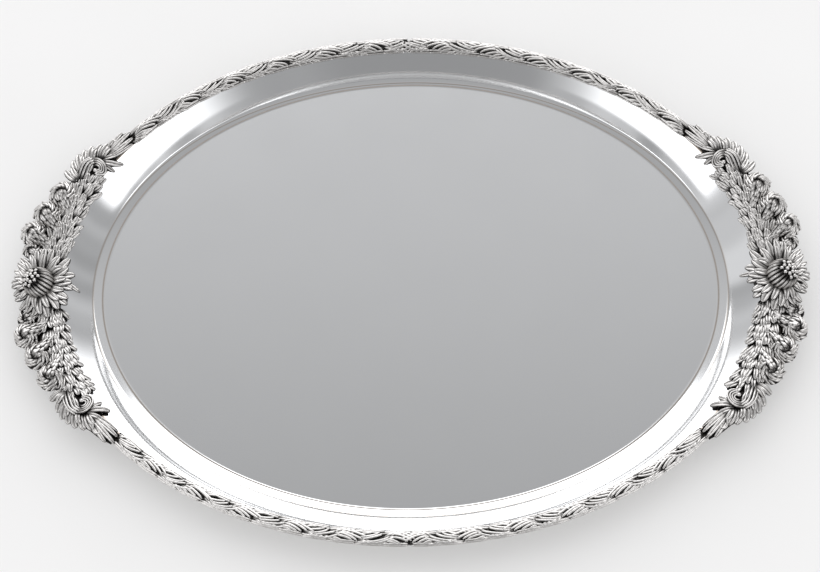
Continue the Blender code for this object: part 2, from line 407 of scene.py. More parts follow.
def border_strand(casting, distance, across, half_width):
    """One rib of the border, along distances and across places that are shares of its half width."""
    t = np.linspace(0, 1, len(distance))
    x, y = beside_border(distance, across * BORDER_HALF_WIDTH)
    risen = smooth(0.15 + 1.6 * t)
    lift = (RIB_FOOT + RIB_RISE * risen) * (1 - RIB_SINK * across**2)
    line, up = over_sheet(x, y, lift)
    nx, ny = outward(x, y)
    up = unit(up + RIB_LEAN * across[:, None] * np.stack([nx, ny, np.zeros_like(nx)], -1))
    width = half_width * swell(np.linspace(*LEAF_ENDS, len(t)), belly=0.6, blunt=2.4)
    casting.blade(line, up, width, np.full_like(t, RIB_THICKNESS), RIDGE, BORDER_ROOT_SHADE)


def edge_ribs(casting, start, length, rng):
    t = np.linspace(0, 1, RIB_STATIONS)
    for edge in (-1, 1):
        for across in (0.88, 0.62):
            begin = rng.uniform(-0.30, -0.15)
            distance = start + length * (begin + rng.uniform(1.15, 1.35) * t)
            bowed = edge * (across + 0.05 * np.sin(math.pi * t))
            border_strand(casting, distance, bowed, half_width=0.00140)


def fill_lobes(casting, start, length, sway, rng):
    t = np.linspace(0, 1, RIB_STATIONS)
    for lobe in range(FILL_LOBES):
        begin = start + length * (FILL_FIRST + FILL_PITCH * lobe) + rng.uniform(-FILL_SHIFT, FILL_SHIFT)
        distance = begin + length * rng.uniform(*FILL_RUNS) * t
        across = -sway * (FILL_ROOT + rng.uniform(*FILL_SPREADS) * t**FILL_CURVE)
        border_strand(casting, distance, across, RIB_HALF_WIDTH)


def border_leaf(casting, start, length, sway, rng):
    """A leaf of the border: ribs that leave the base together and peel off one by one to one edge, the
    last of them under the next leaf. The next leaf peels off to the other edge."""
    edge_ribs(casting, start, length, rng)
    fill_lobes(casting, start, length, sway, rng)
    t = np.linspace(0, 1, RIB_STATIONS)
    for rib in reversed(range(BORDER_RIBS)):
        begin = start + length * (RIB_PITCH * rib + RIB_BEGINS) + rng.uniform(-RIB_SHIFT, RIB_SHIFT)
        run, leaves, arrives = (
            first + step * rib + rng.uniform(low, high)
            for first, step, low, high in (RIB_RUNS, RIB_LEAVES, RIB_ARRIVES)
        )
        gathered = RIB_GATHER + (1 - RIB_GATHER) * smooth(2 * t)
        across = sway * (leaves * gathered + (arrives - leaves) * t ** rng.uniform(*RIB_CURVES))
        border_strand(casting, begin + length * run * t, across, RIB_HALF_WIDTH)


def border_bed(casting, start, stop, stations=40, arc_points=9):
    """The casting's own ground: a low dark strip under the leaves."""
    distance = np.linspace(start, stop, stations)
    arc = np.linspace(0, math.pi, arc_points)
    under = 0.55
    over = np.concatenate([-np.cos(arc), [under, -under]])
    high = np.concatenate([np.sin(arc) * BORDER_BED_HEIGHT + BORDER_BED_EDGE, [BORDER_BED_UNDERSIDE] * 2])
    wave = 0.90 + 0.06 * np.sin(math.tau * distance / BORDER_BED_WAVE)
    across = BORDER_BED_HALF_WIDTH * over[None, :] * wave[:, None]
    x, y = beside_border(distance[:, None] + 0 * across, across)
    rings, _ = over_sheet(x, y, high[None, :] + SOLDER_GAP)
    casting.rings(rings[:, ::-1], oxide=0.72)


def border(mirror, end, side, material, rng):
    span = BORDER_LENGTH / BORDER_CASTINGS_PER_QUARTER
    pitch = span / BORDER_LEAVES_PER_CASTING
    last = BORDER_CASTINGS_PER_QUARTER * BORDER_LEAVES_PER_CASTING - 1
    for i in range(BORDER_CASTINGS_PER_QUARTER):
        casting = Casting()
        border_bed(casting, span * i + BORDER_BUTT_GAP, span * (i + 1) - BORDER_BUTT_GAP)
        for j in range(BORDER_LEAVES_PER_CASTING):
            number = i * BORDER_LEAVES_PER_CASTING + j
            sway = 1 if number % 2 else -1
            length = pitch * (BORDER_LAST_LEAF if number == last else 1.0)
            border_leaf(casting, pitch * number, length, sway, rng)
        casting.piece(f"border_{side}_{end}_{i + 1}", mirror, material)


# ---------- garland

# Lengths here are in millimetres, and places are inward of the garland's ellipse.
GARLAND_SHARE = 0.978
GARLAND_START = 29.0
GARLAND_STOP = 99.0
GARLAND_COLUMNS = (-11.0, 3.4, -8.4, 1.6, -5.8, -0.2, -3.4, -1.8)
GARLAND_FIRST_ROW = 20
GARLAND_LAST_ROW = 99
GARLAND_LAST_ROOT = 100.5
GARLAND_PITCH = 7.0
GARLAND_STAGGER = 3.5
GARLAND_JITTER = 1.2
# Leaves fan out from the garland's crest, where they also stand highest.
GARLAND_CREST = -3.0
GARLAND_CREST_HALF_WIDTH = 10.0
GARLAND_FAN = 0.050
GARLAND_FAN_DRAW = 0.26
LEAFLET_HALF_WIDTH = 2.7
LEAFLET_BEND = 1.8
GARLAND_BED_MIDDLE = -1.5
GARLAND_BED_HALF_WIDTH = 7.6
GARLAND_BED_HEIGHT = 2.2


def garland_place(y, inward):
    """A plan point of the garland, the unit way along it, away from the flower, and the way outward."""
    middle_x = GARLAND_SHARE * RIM_HALF_LENGTH / MM
    x = middle_x * math.sqrt(1 - (y * MM / (GARLAND_SHARE * RIM_HALF_WIDTH)) ** 2)
    nx, ny = outward(x * MM, y * MM)
    normal = np.array([nx, ny])
    return np.array([x, y]) - inward * normal, np.array([-ny, nx]), normal


def leaflet(casting, root, way, length, bend, lifts):
    """A garland leaf from a root along a unit way in plan, bowed sideways by bend."""
    aside = np.array([-way[1], way[0]]) * bend
    plan = (root, root + way * length * 0.5 + aside, root + way * length)
    leaf(casting, plan, LEAFLET_HALF_WIDTH, lifts, thick=1.5, blunt=1.1)


def garland_bed(casting, stations=24, arc_points=7):
    """The garland's own ground, an arch that follows the sheet."""
    rows = []
    for y in np.linspace(GARLAND_START, GARLAND_STOP, stations):
        centre, _, normal = garland_place(y, GARLAND_BED_MIDDLE)
        row = []
        for angle in np.linspace(0, math.pi, arc_points):
            spot = (centre - normal * GARLAND_BED_HALF_WIDTH * math.cos(angle)) * MM
            arch = GARLAND_BED_HEIGHT * MM * math.sin(angle)
            row.append([*spot, sheet_height(share_at(*spot)) + SOLDER_GAP + arch])
        rows.append(row)
    casting.rings(np.array(rows), 1.0)


def garland(mirror, end, side, material, rng):
    casting = Casting()
    garland_bed(casting)
    jitter = (-GARLAND_JITTER, GARLAND_JITTER)
    for row in np.arange(GARLAND_FIRST_ROW, GARLAND_LAST_ROW, GARLAND_PITCH):
        for column, inward in enumerate(GARLAND_COLUMNS):
            y = row + (GARLAND_STAGGER * (column % 2) + rng.uniform(*jitter))
            root, along, normal = garland_place(min(y, GARLAND_LAST_ROOT), inward)
            off_crest = inward - GARLAND_CREST
            fan = -GARLAND_FAN * off_crest + rng.uniform(-GARLAND_FAN_DRAW, GARLAND_FAN_DRAW)
            way = math.cos(fan) * along + math.sin(fan) * normal
            crest = 1.2 + 3.2 * (1 - (off_crest / GARLAND_CREST_HALF_WIDTH) ** 2)
            wave = 1.8 * math.cos(math.tau * row / 21.0)
            length = 12.0 + wave + rng.uniform(*jitter)
            lifts = (crest - 2.2, crest + 1.0, crest + rng.uniform(0.2, 1.2))
            leaflet(casting, root, way, length, rng.uniform(-LEAFLET_BEND, LEAFLET_BEND), lifts)
    casting.piece(f"garland_{end}_{side}", mirror, material)


# ---------- blooms

# Each bloom in plan, in millimetres: its crown, its tail by the garland, its girth and its height. The
# first is half hidden by the flower's petals.
BLOOMS = (
    ((357.5, 33.0), (346.0, 25.0), 5.0, 4.5),
    ((356.5, 50.0), (339.5, 37.5), 6.6, 10.2),
    ((344.5, 69.5), (331.5, 50.5), 7.2, 11.0),
    ((331.0, 89.0), (324.0, 69.5), 7.4, 10.4),
)

# The body of a bloom: how far its round end reaches in plan and at its top, as shares of its girth, and
# how much of its width and height it loses on the way to the tail.
NOSE_REACH = 0.92
TOP_REACH = 0.95
TAIL_NARROWS = 0.66
TAIL_NARROWS_FROM = 3
TAIL_SINKS = 0.62
SKIN_LEAN = 0.9
SKIN_STEEPEST = 0.15

# Petals stream from the crown to the tail in rows. Pairs are the range of a random draw.
PETAL_ROWS = 5
PETAL_FIRST_ROW = 0.66
PETAL_LAST_ROW = -0.38
PETAL_SPREAD = 0.92
PETAL_SIDE_LAG = 1.6
PETAL_SHIFT = (-0.8, 0.8)
PETAL_RUN = 9.4
PETAL_RUNS = (0.9, 1.08)
PETAL_OUTERMOST = 0.98

# The hood's rows of leaflets: radius, level up the bloom, and size. The small bloom has only one row.
HOOD_ROWS = ((9.4, 0.10, 0.9), (7.4, 0.34, 1.0), (5.3, 0.60, 1.0))
SMALL_HOOD_ROWS = ((5.6, 0.3, 1.0),)
SMALL_BLOOM_HEIGHT = 6
HOOD_GIRTH = 7.2
HOOD_FROM = -2.4
HOOD_TO = 2.2
HOOD_SPACING = 4.5
HOOD_DRIFT_CURVE = 1.4
HOOD_LIFT = 1.6
HOOD_TIP_DROP = 1.2


class BloomFrame:
    """Places on one bloom: s runs from the crown to the tail, in millimetres, and v across, outward
    positive."""

    def __init__(self, crown, tail, girth, height):
        self.crown = np.array(crown)
        run = np.array(tail) - self.crown
        self.length = np.linalg.norm(run)
        self.ahead = run / self.length
        self.turn = math.atan2(self.ahead[1], self.ahead[0])
        self.out = np.array([-self.ahead[1], self.ahead[0]])
        if self.out[0] < 0:
            self.out = -self.out
        self.girth = girth
        self.height = height

    def width(self, s):
        nose = np.sqrt(np.clip(1 - (s / (NOSE_REACH * self.girth)) ** 2, 0, 1))
        tail = 1 - TAIL_NARROWS * smooth((s - TAIL_NARROWS_FROM) / self.length)
        return self.girth * np.where(s < 0, nose, tail)

    def top(self, s):
        nose = np.sqrt(np.clip(1 - (s / (TOP_REACH * self.girth)) ** 2, 0, 1))
        tail = 1 - TAIL_SINKS * smooth(s / self.length)
        return self.height * np.where(s < 0, nose, tail)

    def point(self, s, v, lift=0.0):
        """Points on the bloom's skin and the way up there; v is a share of the half width."""
        plan = self.crown + self.ahead * s[:, None] + self.out * (v * self.width(s))[:, None]
        height = self.top(s) * np.sqrt(np.clip(1 - v**2, 0.0, 1)) + lift
        lean = v * SKIN_LEAN / np.sqrt(np.clip(1 - v**2, SKIN_STEEPEST, 1))
        up = unit(np.column_stack([self.out * lean[:, None], np.ones_like(v)]))
        return np.column_stack([plan * MM, GROUND_TOP + SOLDER_GAP + height * MM]), up

    def place(self, s, height):
        """A point on the bloom's middle line, at a height over the sheet's ground."""
        x, y = (self.crown + self.ahead * s) * MM
        return x, y, GROUND_TOP + height


def bloom_bed(casting, bloom):
    """A low dark dome under all of it, sized by shares of the bloom's girth and height."""
    radii = (bloom.girth * 1.75 * MM, bloom.girth * 1.60 * MM)
    foot = bloom.place(-1.0, SOLDER_GAP)
    casting.dome(foot, radii, bloom.height * 0.36 * MM, oxide=1.0, turn=bloom.turn)


def bloom_body(casting, bloom, stations=20, arc_points=17):
    """The bare body, dark behind the crown and down both sides."""
    s = np.linspace(-0.90 * bloom.girth, bloom.length, stations)
    v = np.cos(np.linspace(0, math.pi, arc_points))
    rings = []
    for along in s:
        skin, _ = bloom.point(np.full_like(v, along), v)
        rings.append(skin)
    behind = smooth((s - 2.0) / 4.0)[:, None]
    aside = smooth((np.abs(v) - 0.6) / 0.3)[None, :]
    casting.rings(np.array(rings)[:, ::-1], np.maximum(behind, aside)[:, ::-1])


def bloom_petals(casting, bloom, rng):
    """Petals that stream from the crown to the tail in rows, each row lapped by the one nearer the
    crown."""
    t = np.linspace(*LEAF_ENDS, 12)
    arch = 1.1 * np.sin(math.pi * np.clip(t + 0.12, 0, 1))
    firsts = np.linspace(bloom.length * PETAL_FIRST_ROW, PETAL_LAST_ROW * bloom.girth, PETAL_ROWS)
    for row, first in enumerate(firsts):
        for v in np.linspace(-PETAL_SPREAD, PETAL_SPREAD, 4 if row % 2 else 5):
            begin = first + PETAL_SIDE_LAG * abs(v) + rng.uniform(*PETAL_SHIFT)
            s = begin + PETAL_RUN * t * rng.uniform(*PETAL_RUNS)
            sway = rng.uniform(-0.22, 0.22)
            across = np.clip(v + sway * np.sin(math.pi * t), -PETAL_OUTERMOST, PETAL_OUTERMOST)
            line, up = bloom.point(s, across, arch)
            half_width = (0.85 + 0.19 * bloom.width(s)) * swell(t, belly=0.45, blunt=1.2) * MM
            thickness = np.full_like(t, 0.0012)
            casting.blade(line, up, half_width, thickness, RIDGE)


def hood_leaf(casting, bloom, turn, radius, level, size, rng):
    """One leaflet that curls round the crown and drifts outwards."""
    t = np.linspace(*SLIM_LEAF_ENDS, 13)
    swing = rng.uniform(7.0, 9.5) * size / (radius + 1.5)
    angle = turn + swing * (t - 0.5)
    drift = rng.uniform(2.6, 5.2) * size * t**HOOD_DRIFT_CURVE
    out_by = radius * bloom.girth / HOOD_GIRTH + drift + rng.uniform(-0.4, 0.4)
    back = bloom.ahead * (out_by * np.cos(angle))[:, None]
    plan = bloom.crown - back + bloom.out * (out_by * np.sin(angle))[:, None]
    x, y = plan[:, 0] * MM, plan[:, 1] * MM
    base = np.minimum(sheet_height(share_at(x, y)), GROUND_TOP)
    arch = 1.3 * np.sin(math.pi * np.clip(t + 0.1, 0, 1))
    rise = bloom.height * level + HOOD_LIFT + arch - HOOD_TIP_DROP * t
    lean = 0.75 - 0.5 * level
    up = unit(np.column_stack([unit(plan - bloom.crown) * lean, np.ones_like(x)]))
    half_width = 1.75 * MM * swell(t, belly=0.5, blunt=1.3)
    line = np.column_stack([x, y, base + rise * MM])
    thickness = np.full_like(t, 0.0016)
    casting.blade(line, up, half_width, thickness, RIDGE)


def bloom_hood(casting, bloom, rng):
    """The hood: rows of curled leaflets that sweep from the garland round the far side of the crown, so
    that their tips make a lumpy edge."""
    rows = HOOD_ROWS if bloom.height > SMALL_BLOOM_HEIGHT else SMALL_HOOD_ROWS
    for radius, level, size in rows:
        for turn in np.arange(HOOD_FROM, HOOD_TO, HOOD_SPACING / (radius + 2.0)):
            turned = turn + rng.uniform(-0.14, 0.14)
            hood_leaf(casting, bloom, turned, radius, level, size, rng)


def bloom_boss(casting, bloom):
    """The smooth egg that stands clear of the combed leaves at the crown, sized by shares of the bloom's
    girth and height."""
    foot = bloom.place(0.6, bloom.height * 0.50 * MM)
    radii = (bloom.girth * 0.74 * MM, bloom.girth * 0.52 * MM)
    casting.dome(foot, radii, bloom.height * 0.70 * MM, oxide=0.22, turn=bloom.turn)


def blooms(mirror, end, side, material, rng):
    for i, measures in enumerate(BLOOMS):
        casting = Casting()
        bloom = BloomFrame(*measures)
        bloom_bed(casting, bloom)
        bloom_body(casting, bloom)
        bloom_petals(casting, bloom, rng)
        bloom_hood(casting, bloom, rng)
        bloom_boss(casting, bloom)
        casting.piece(f"bloom_{end}_{side}_{i + 1}", mirror, material)


# ---------- corner scroll

# The scroll in plan, in millimetres. Ribs of its stem: points, and lifts along them.
SCROLL_RIBS = (
    (((313.3, 99.6), (307.6, 112.1), (305.2, 118.3), (300.6, 120.4)), (2.6, 5.0, 6.2, 5.8)),
    (((315.5, 100.2), (310.8, 112.4), (307.6, 119.0), (301.5, 122.6)), (3.0, 6.4, 7.6, 6.6)),
    (((317.7, 101.3), (314.1, 112.9), (310.6, 119.8), (303.0, 124.4)), (3.0, 6.6, 7.8, 7.0)),
    (((319.6, 103.2), (316.8, 113.8), (312.6, 120.6), (305.0, 125.8)), (2.8, 5.4, 6.6, 6.2)),
)

# The volute: one curl, nested about its eye at several sizes.
VOLUTE = (
    (309.6, 120.4), (303.5, 123.6), (297.4, 123.0), (293.2, 119.6), (292.2, 114.8),
    (294.4, 110.4), (298.4, 108.8), (301.6, 110.4),
)
VOLUTE_EYE = (299.0, 115.2)
VOLUTE_NESTING = (0.30, 0.56, 0.80, 1.04)

# The small curl beside the fan.
SECOND_VOLUTE = ((291.8, 129.0), (288.9, 134.5), (288.2, 140.3), (284.8, 143.4), (281.6, 141.2))
SECOND_VOLUTE_LIFTS = (3.2, 5.8, 5.2, 4.6)

# The ball in each curl: place, height over the sheet, and radius.
VOLUTE_KNOB = ((300.6, 112.6), 5.2, 2.2)
SECOND_KNOB = ((282.4, 140.4), 4.0, 1.8)

# Leaves: points from base to tip, half width, and lifts.
SCROLL_LEAVES = (
    # the fan that runs down to the border
    (((292.0, 123.8), (281.0, 129.8), (267.0, 142.0)), 2.30, (2.0, 3.6, 2.4)),
    (((290.5, 132.0), (285.6, 140.6), (276.6, 151.4)), 2.60, (2.6, 4.6, 3.4)),
    (((291.5, 127.8), (283.0, 136.6), (268.8, 152.0)), 2.80, (2.8, 5.6, 3.8)),
    (((292.5, 125.4), (281.5, 133.0), (266.6, 147.0)), 2.50, (2.6, 5.2, 3.4)),
    # acanthus lobes on the outer side, the lower layer
    (((296.5, 124.0), (296.0, 132.0), (289.4, 140.0)), 3.60, (2.4, 4.2, 3.0)),
    (((300.5, 124.0), (303.6, 130.6), (296.2, 139.6)), 3.60, (2.4, 4.4, 3.0)),
    (((304.5, 122.0), (309.6, 128.0), (304.6, 138.0)), 3.60, (2.4, 4.4, 3.0)),
    (((309.0, 118.0), (314.6, 123.5), (311.6, 134.4)), 3.60, (2.4, 4.4, 3.0)),
    (((312.0, 113.0), (319.2, 119.0), (317.6, 130.0)), 3.60, (2.4, 4.4, 3.0)),
    (((314.5, 108.0), (322.4, 112.6), (322.6, 123.6)), 3.60, (2.4, 4.4, 3.0)),
    (((316.5, 102.0), (325.0, 105.4), (329.8, 113.0)), 3.60, (2.6, 5.4, 3.6)),
    # and the upper layer
    (((294.0, 124.6), (293.6, 130.0), (287.0, 135.6)), 3.10, (3.6, 6.0, 4.6)),
    (((302.0, 123.6), (305.2, 128.0), (300.6, 134.2)), 3.10, (3.8, 6.8, 5.2)),
    (((309.5, 116.0), (314.8, 119.6), (313.2, 127.0)), 3.10, (3.8, 6.6, 5.2)),
    (((315.0, 105.0), (321.2, 108.0), (323.2, 115.4)), 3.10, (3.6, 6.2, 4.8)),
    # a leaf that fills the hollow of the volute
    (((310.5, 108.0), (306.4, 114.0), (303.6, 119.6)), 3.20, (3.0, 4.8, 4.6)),
    # the trefoil on the inner side
    (((297.0, 124.0), (288.6, 126.0), (281.6, 130.2)), 2.50, (2.4, 5.0, 2.6)),
    (((296.0, 119.0), (289.4, 117.6), (284.6, 114.2)), 2.40, (2.4, 4.6, 2.2)),
    (((297.0, 121.6), (287.4, 120.6), (276.6, 122.4)), 3.10, (2.8, 6.0, 2.4)),
)

# The scroll's own ground: its outline, its middle and its height, and its rings as shares of both.
SCROLL_BED = (
    (268.5, 147.0), (272.0, 153.0), (283.0, 147.5), (292.0, 140.5), (300.0, 136.0), (310.0, 132.0),
    (318.0, 124.0), (325.0, 112.5), (318.0, 101.0), (312.0, 100.0), (306.0, 106.5), (298.0, 107.0),
    (292.0, 111.0), (287.5, 119.0), (281.5, 123.5), (283.0, 129.0), (276.0, 137.0),
)
SCROLL_MIDDLE = (299.0, 124.0)
SCROLL_BED_HEIGHT = 2.6
SCROLL_BED_RINGS = ((0.90, 0.0), (1.0, 0.35), (0.9, 0.7), (0.7, 0.92), (0.4, 1.0), (0.1, 1.0))


def scroll_bed(casting):
    """Low dark ground that follows the sheet under it."""
    rings = []
    middle = np.array(SCROLL_MIDDLE)
    for share, rise in SCROLL_BED_RINGS:
        plan = (middle + (np.array(SCROLL_BED) - middle) * share) * MM
        z = sheet_height(share_at(plan[:, 0], plan[:, 1])) + SOLDER_GAP + rise * SCROLL_BED_HEIGHT * MM
        rings.append(np.column_stack([plan, z]))
    casting.rings(np.array(rings)[:, ::-1], 1.0)


def curl(casting, points, half_width, lifts, thick, blunt, stations):
    """A round-backed rib through every point."""
    leaf(casting, points, half_width, lifts, thick, blunt, RIDGE, stations, through)


def volute(casting):
    eye = np.array(VOLUTE_EYE)
    for share in VOLUTE_NESTING:
        points = eye + (np.array(VOLUTE) - eye) * share
        lifts = (5.0, 5.4 + 2.6 * share, 4.6 + 2.2 * share, 4.0 + 2.0 * share, 5.6)
        curl(casting, points, half_width=1.15, lifts=lifts, thick=1.5, blunt=4, stations=36)


def knob(casting, place, height, radius, columns, rows):
    x, y = np.array(place) * MM
    z = sheet_height(share_at(x, y)) + height * MM
    casting.ball((x, y, z), radius * MM, columns=columns, rows=rows)


def scroll(mirror, end, side, material):
    casting = Casting()
    scroll_bed(casting)
    for plan, half_width, lifts in SCROLL_LEAVES:
        leaf(casting, plan, half_width, lifts, thick=1.9, blunt=1.35, stations=13)
    for plan, lifts in SCROLL_RIBS:
        curl(casting, plan, half_width=1.45, lifts=lifts, thick=1.6, blunt=5, stations=16)
    volute(casting)
    knob(casting, *VOLUTE_KNOB, columns=18, rows=11)
    curl(casting, SECOND_VOLUTE, half_width=1.35, lifts=SECOND_VOLUTE_LIFTS, thick=1.4, blunt=6, stations=22)
    knob(casting, *SECOND_KNOB, columns=14, rows=9)
    casting.piece(f"scroll_{end}_{side}", mirror, material)


# ---------- flower

FLOWER_X = 0.347
ENDS = ((1, "right", 0.0), (-1, "left", 9.0))

# The ruff's layers of petals from the lowest up, in millimetres: how many petals, how
# many petals' widths the layer is turned by, its size, half width of a petal, and heights along it.
RUFF_LAYERS = (
    (13, 0.00, 1.04, 4.20, (4.2, 6.6, 5.4)),
    (13, 0.50, 0.98, 4.10, (5.0, 8.4, 6.8)),
    (15, 0.25, 0.80, 3.10, (6.0, 10.2, 8.4)),
)
RUFF_INNER_RADIUS = 9.5
RUFF_TURN_DRAW = 0.07
RUFF_BEND = 2.2

# The one long petal that points to the tray's middle.
TIP_LEVELS = (5.6, 9.6, 4.6, 3.2)
TIP = dict(start=10.0, reach=38.6, half_width=2.7, levels=TIP_LEVELS, bend=-1.6, blunt=1.3, belly=0.45)

# The heart, a dome with a patch of florets whose axis leans outwards and aside.
HEART_RADIUS = 0.0132
HEART_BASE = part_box("flower_heart_right")[0].z
HEART_CORE = HEART_RADIUS * 0.97
HEART_NECK = 0.0015
PATCH_LEAN = math.radians(33)
PATCH_ASIDE = math.radians(24)
PATCH_SPREAD = math.radians(43)
FLORETS = 19
FLORET_RADIUS = 0.00188
FLORET_RISE = 0.0005
GOLDEN_ANGLE = math.pi * (3 - math.sqrt(5))

# Straps run from the patch's edge down to the heart's foot. The shortest are left out.
STRAPS = 22
STRAP_FOOT = 0.04
STRAP_SINK = 0.0002
STRAP_BULGE = 0.0006
STRAP_FILL = 0.98


def petal(casting, angle, start, reach, half_width, levels, bend, blunt, belly=0.5, sway=0.0):
    """A ruff petal in the flower's own plan, from start to reach along angle; levels are its heights over
    the ruff's foot."""
    way = np.array([math.cos(angle), math.sin(angle)])
    side = np.array([-way[1], way[0]])
    t = np.linspace(*SLIM_LEAF_ENDS, 14)
    run = start + (reach - start) * t
    plan = way * run[:, None] + side * (bend * np.sin(math.pi * t) + sway * t**2)[:, None]
    height = bezier([[level] for level in levels], t)[:, 0]
    line = np.column_stack([plan + np.array([FLOWER_X / MM, 0.0]), height]) * MM
    line[:, 2] += GROUND_TOP + SOLDER_GAP
    up = np.tile(np.array([0.0, 0.0, 1.0]), (len(t), 1))
    width = half_width * MM * swell(t, belly, blunt)
    thickness = np.full_like(t, 0.0017)
    casting.blade(line, up, width, thickness, root_shade=PETAL_ROOT_SHADE)


def ruff(end, mirror_x, tip_sway, material, rng):
    """Three layers of petals round the flower, and its long tip."""
    casting = Casting()
    foot = (FLOWER_X, 0.0, GROUND_TOP + SOLDER_GAP)
    casting.dome(foot, radii=(0.0195, 0.0220), height=0.0052, oxide=1.0, columns=36)
    for count, phase, size, half_width, levels in RUFF_LAYERS:
        for i in range(count):
            angle = math.tau * (i + phase) / count + rng.uniform(-RUFF_TURN_DRAW, RUFF_TURN_DRAW)
            # farther towards the blooms, and farther and wider towards the tray's middle
            inner = smooth(0.5 - 0.5 * math.cos(angle))
            reach = 24.2 + 5.6 * abs(math.sin(angle)) + 6.0 * inner
            reach = reach * size * rng.uniform(0.94, 1.05)
            width = half_width * (0.88 + 0.25 * inner)
            bend = rng.uniform(-RUFF_BEND, RUFF_BEND)
            blunt = 1.15 - 0.15 * inner
            petal(casting, angle, RUFF_INNER_RADIUS, reach, width, levels, bend, blunt)
    petal(casting, math.pi, **TIP, sway=tip_sway)
    casting.piece(f"flower_ruff_{end}", (mirror_x, 1), material)


def strap(casting, centre, axis, radial):
    """A round-backed strap that wraps the heart from the patch of florets to its foot."""
    tilt = np.radians(np.linspace(38, 150, 60))
    arc = np.cos(tilt)[:, None] * axis + np.sin(tilt)[:, None] * radial
    foot = np.argmax(arc[:, 2] < STRAP_FOOT)
    if tilt[foot] - tilt[0] < 0.12:
        return
    tilt = np.linspace(tilt[0], tilt[foot], 16)
    out = np.cos(tilt)[:, None] * axis + np.sin(tilt)[:, None] * radial
    t = np.linspace(0.0, 1.0, len(tilt))
    reach = HEART_RADIUS - STRAP_SINK + STRAP_BULGE * (1 - t) ** 2
    widened = np.minimum(1.0, 0.35 + 2.2 * t)
    half_width = math.pi / STRAPS * HEART_RADIUS * np.sin(tilt) * STRAP_FILL * widened
    line = centre + out * reach[:, None]
    thickness = np.full_like(t, 0.0017)
    casting.blade(line, out, half_width, thickness, RIDGE)


def heart(end, mirror_x, material):
    """The domed middle: a patch of ball florets on its outer side, and ribbed straps that wrap the
    rest."""
    casting = Casting()
    centre = np.array([FLOWER_X, 0.0, HEART_BASE])
    casting.dome(centre, (HEART_CORE, HEART_CORE), HEART_CORE, HEART_NECK, oxide=1.0, columns=36, rows=12)
    lean, aside = PATCH_LEAN, PATCH_ASIDE
    axis = np.array([math.sin(lean) * math.cos(aside), math.sin(lean) * math.sin(aside), math.cos(lean)])
    first = unit(np.cross((0.0, 1.0, 0.0), axis))
    second = np.cross(axis, first)

    def around(turn):
        return math.cos(turn) * first + math.sin(turn) * second

    for k in range(FLORETS):
        tilt = PATCH_SPREAD * math.sqrt((k + 0.3) / FLORETS)
        out = math.cos(tilt) * axis + math.sin(tilt) * around(k * GOLDEN_ANGLE)
        casting.ball(centre + out * (HEART_RADIUS + FLORET_RISE), FLORET_RADIUS, up=out, columns=14, rows=9)
    for k in range(STRAPS):
        strap(casting, centre, axis, around(math.tau * (k + 0.5) / STRAPS))
    casting.piece(f"flower_heart_{end}", (mirror_x, 1), material)


# ---------- the sheet body

BODY_SEGMENTS = 640
WELL_RINGS = 12
WELL_MIDDLE = 0.10
WELL_RING_GAP = 0.01
BAND_RINGS = 72
WALL_RINGS = 56

# The two chased lines round the well, each a fine raised bead. The second drifts in towards the well at
# the back.
BEAD_HEIGHT = 0.00020
BEAD_SHARES = 0.00075 / MEAN_HALF_AXIS
BEAD_RINGS = 13
BEAD_REACH = 3
SECOND_BEAD = 0.8
SECOND_LINE_INSET = 0.0005
SECOND_LINE_DRIFT = 0.0165

# The sheet's rounded edge, as shares of its reach beyond the rim and drops from its top.
EDGE_ROUNDING = 0.0003
EDGE_SHOULDER = 0.985
EDGE_SECTION = (
    (0.5, 0.0),
    (EDGE_SHOULDER, 0.0),
    (1.0, EDGE_ROUNDING),
    (1.0, SHEET - EDGE_ROUNDING),
    (EDGE_SHOULDER, SHEET),
    (0.0, SHEET),
)
UNDERSIDE_RINGS = 24
UNDERSIDE_SHARES = (WELL_EDGE, 0.5, WELL_MIDDLE)

# Tarnish and a painted shadow are kept just outside each chased line, and painted shade with tarnishing
# against the ornament.
LINE_TARNISH_AND_SHADOW = 0.24
LINE_SHADOW_OFFSET = 0.7
ORNAMENT_TARNISH_AND_SHADE_FROM = 0.968
ORNAMENT_TARNISH_AND_SHADE_OVER = 0.012


def second_line(sine):
    """The share at which the second chased line runs, at each sine of the angle round the tray."""
    return STEP_LINE - SECOND_LINE_INSET - SECOND_LINE_DRIFT * np.clip(sine, 0, 1) ** 2


def bead(share, line):
    """A bump of height 1 along a line."""
    return np.exp(-(((share - line) / BEAD_SHARES) ** 2))


def upper_face(angle):
    """Rings from the middle of the well to the rim, closer together over the beads and the bend."""
    cuts = [np.linspace(WELL_MIDDLE, WELL_EDGE - WELL_RING_GAP, WELL_RINGS)]
    cuts.append(np.linspace(STEP_LINE, 1.0, WALL_RINGS))
    for line in (WELL_EDGE, STEP_LINE):
        cuts.append(line + np.linspace(-BEAD_REACH, BEAD_REACH, BEAD_RINGS) * BEAD_SHARES)
    cuts.append(np.linspace(WELL_EDGE, STEP_LINE, BAND_RINGS))
    share = np.unique(np.round(np.concatenate(cuts), 6))[:, None]
    beads = bead(share, WELL_EDGE) + SECOND_BEAD * bead(share, second_line(np.sin(angle)))
    height = sheet_height(share) + BEAD_HEIGHT * beads
    return np.concatenate([on_ellipse(share, angle[None, :]), height[:, :, None]], -1)


def rounded_edge(rim):
    """Rings that run out from the rim to the edge, farthest at the ends, and back under it."""
    way = np.stack(outward(rim[:, 0], rim[:, 1]), -1)
    t = (END_GROUND_NONE_FROM - np.abs(rim[:, 1])) / (END_GROUND_NONE_FROM - END_GROUND_FULL_TO)
    reach = EDGE_LIP + END_GROUND * smooth(t)
    rings = []
    for part, drop in EDGE_SECTION:
        plan = rim + way * (reach * part)[:, None]
        rings.append(np.column_stack([plan, np.full(len(rim), GROUND_TOP - drop)]))
    return np.array(rings)


